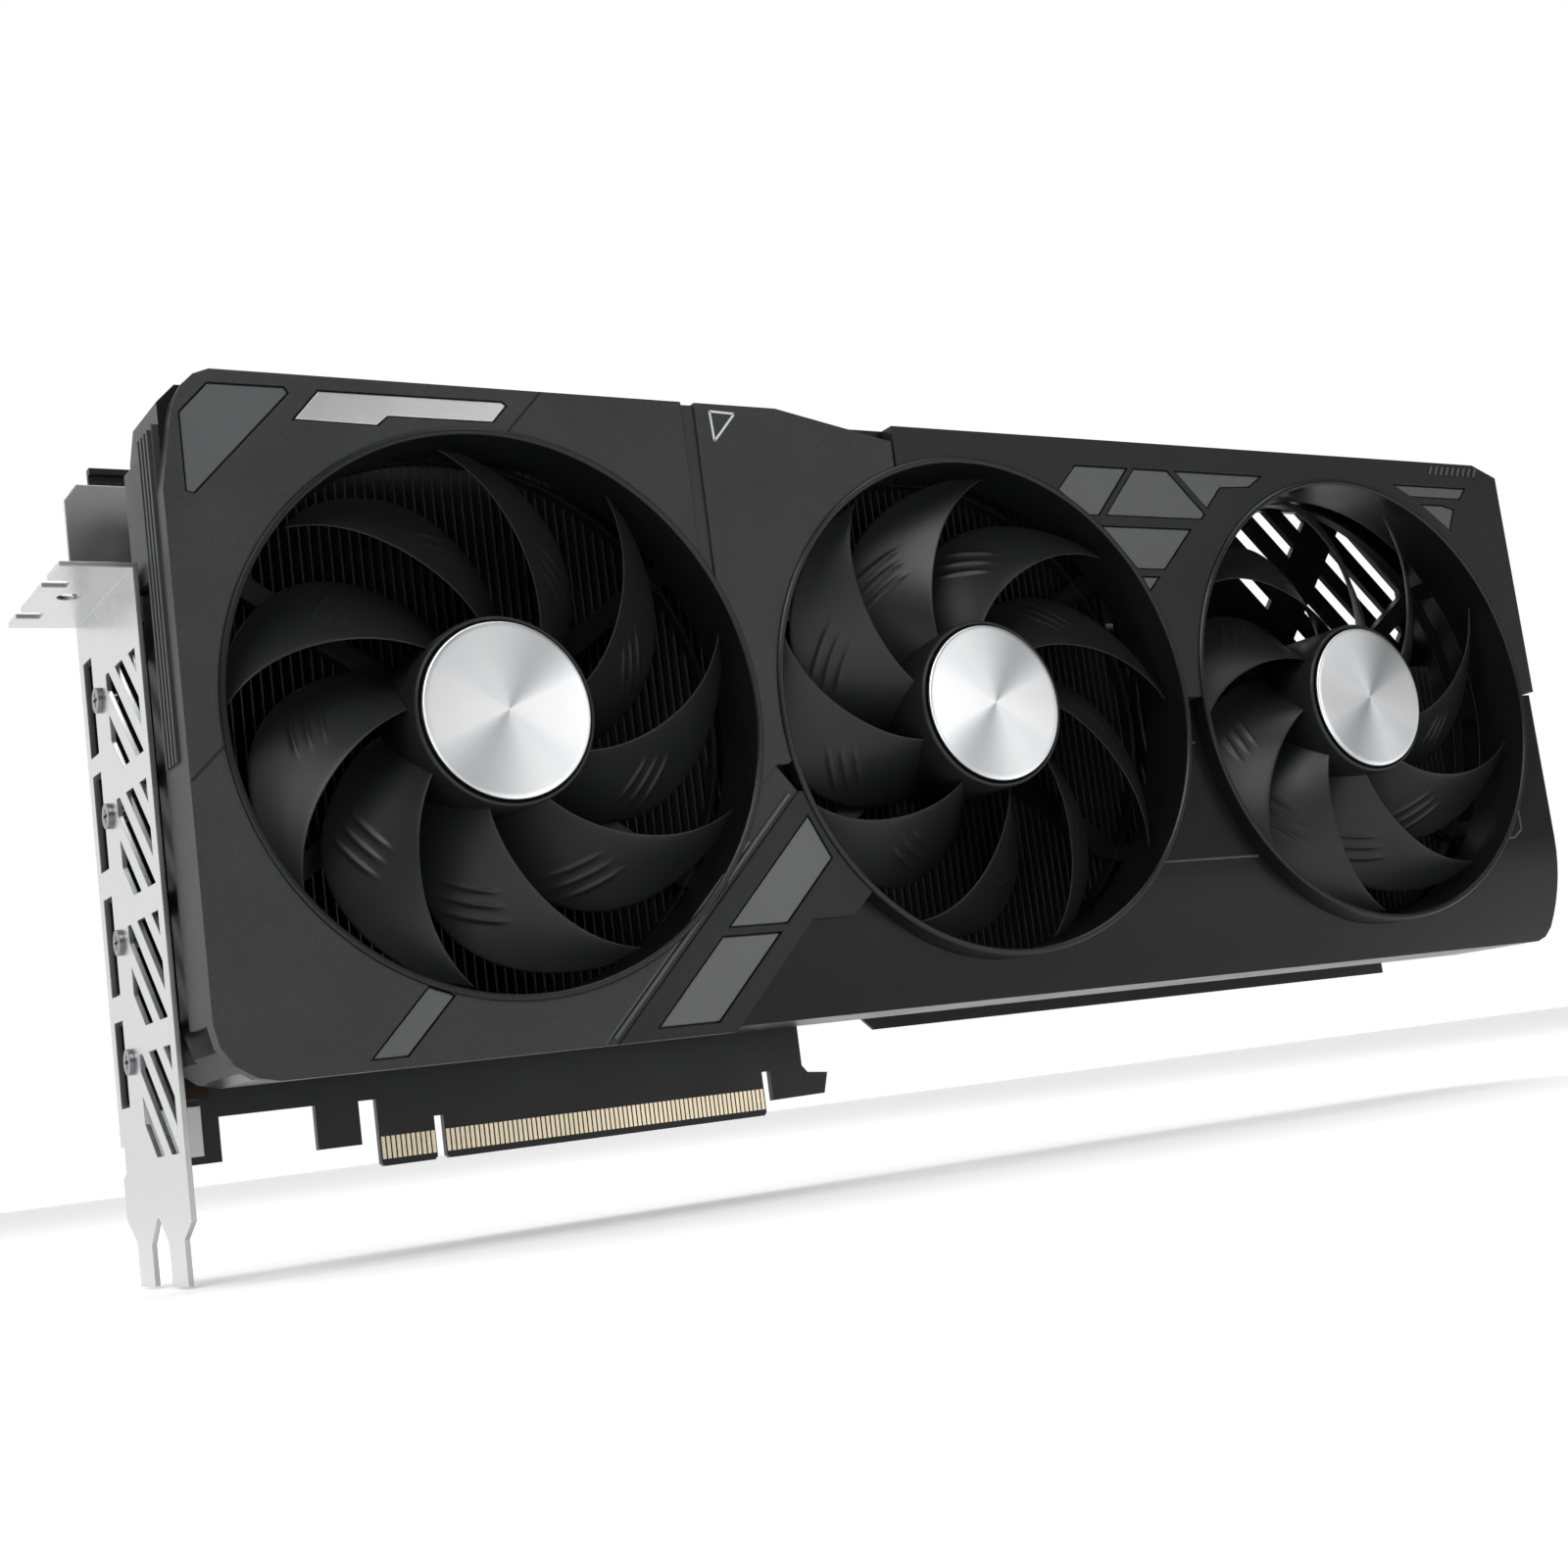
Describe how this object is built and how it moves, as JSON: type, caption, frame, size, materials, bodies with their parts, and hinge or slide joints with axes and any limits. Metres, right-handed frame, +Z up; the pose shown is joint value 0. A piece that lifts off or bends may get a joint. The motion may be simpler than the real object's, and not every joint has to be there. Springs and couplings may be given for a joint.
{
  "type": "graphics card",
  "caption": "Long computer graphics card with a row of cooling fans in a faceted grey and black casing, a slotted steel bracket with video ports and an edge connector.",
  "frame": {"origin": "centre of the key notch of the edge connector, at the bottom edge of the contact fingers, on the board's component face", "axes": "+X from the slot bracket to the tail, +Z up away from the edge connector, -Y the front, where the fans are"},
  "size_m": [0.3414, 0.0592, 0.15],
  "materials": {
    "shroud_plastic": "fine grained black plastic",
    "plate_grey": "satin grey metallic paint",
    "plate_dark": "satin dark grey paint",
    "satin_black": "satin black",
    "inlay_dark": "glossy dark grey",
    "inlay_silver": "fine brushed silver",
    "ring_plastic": "satin black with a bright rim",
    "fan_plastic": "satin black plastic",
    "hub_sticker": "spun grey metallic",
    "steel": "brushed steel",
    "magnet": "dark sintered",
    "copper": "bare copper",
    "bearing_brass": "machined brass",
    "aluminium": "plain sheet aluminium",
    "nickel": "nickel plate",
    "board_mask": "black solder mask",
    "gold": "gold plate",
    "package_green": "green laminate",
    "silicon": "polished silicon",
    "chip_black": "moulded black epoxy",
    "pad_grey": "soft grey pad",
    "choke_grey": "pressed grey ferrite",
    "can_aluminium": "rolled can",
    "connector_black": "black nylon",
    "backplate_black": "matte black paint"
  },
  "bodies": {
    "card": {"shroud": "shroud_plastic", "cover_plate_left": "plate_grey", "cover_plate_middle": "plate_grey", "cover_plate_right": "plate_dark", "diagonal_panel": "plate_dark", "satin_strips": "satin_black", "corner_inlay": "inlay_dark", "accent_bar": "inlay_silver", "upper_inlays": "inlay_dark", "lower_inlays": "inlay_dark", "tail_grille": "shroud_plastic", "stators": "copper", "bearings": "bearing_brass", "circuit_board": "board_mask", "edge_contacts": "gold", "gpu_package": "package_green", "gpu_die": "silicon", "memory_chips": "chip_black", "thermal_pads": "pad_grey", "inductors": "choke_grey", "power_stages": "chip_black", "capacitors": "can_aluminium", "power_connector": "connector_black", "power_pins": "gold", "fan_headers": "connector_black", "slot_bracket": "steel", "bracket_screws": "steel", "bracket_stay": "steel", "video_port_shells": "nickel", "wide_port_shell": "nickel", "port_tongues": "connector_black", "cold_plate": "nickel", "heat_pipes": "copper", "fin_stack_main": "aluminium", "fin_stack_tail": "aluminium", "backplate": "backplate_black", "standoff_posts": "steel", "backplate_screws": "steel", "retention_plate": "steel", "retention_screws": "steel", "fan_frame_1": "shroud_plastic", "ring_trim_1": "ring_plastic", "fan_frame_2": "shroud_plastic", "ring_trim_2": "ring_plastic", "fan_frame_3": "shroud_plastic", "ring_trim_3": "ring_plastic"},
    "fan_1": {"rotor_1": "fan_plastic", "hub_cap_1": "hub_sticker", "magnet_ring_1": "magnet", "shaft_1": "steel"},
    "fan_2": {"rotor_2": "fan_plastic", "hub_cap_2": "hub_sticker", "magnet_ring_2": "magnet", "shaft_2": "steel"},
    "fan_3": {"rotor_3": "fan_plastic", "hub_cap_3": "hub_sticker", "magnet_ring_3": "magnet", "shaft_3": "steel"}
  },
  "joints": [
    {"name": "fan_1_spin", "type": "hinge", "parent": "card", "child": "fan_1", "pos_m": [-0.0004, 0, 0.0755], "axis": [0, -1, 0], "continuous": true},
    {"name": "fan_2_spin", "type": "hinge", "parent": "card", "child": "fan_2", "pos_m": [0.1059, 0, 0.0755], "axis": [0, -1, 0], "continuous": true},
    {"name": "fan_3_spin", "type": "hinge", "parent": "card", "child": "fan_3", "pos_m": [0.2122, 0, 0.0755], "axis": [0, -1, 0], "continuous": true}
  ]
}
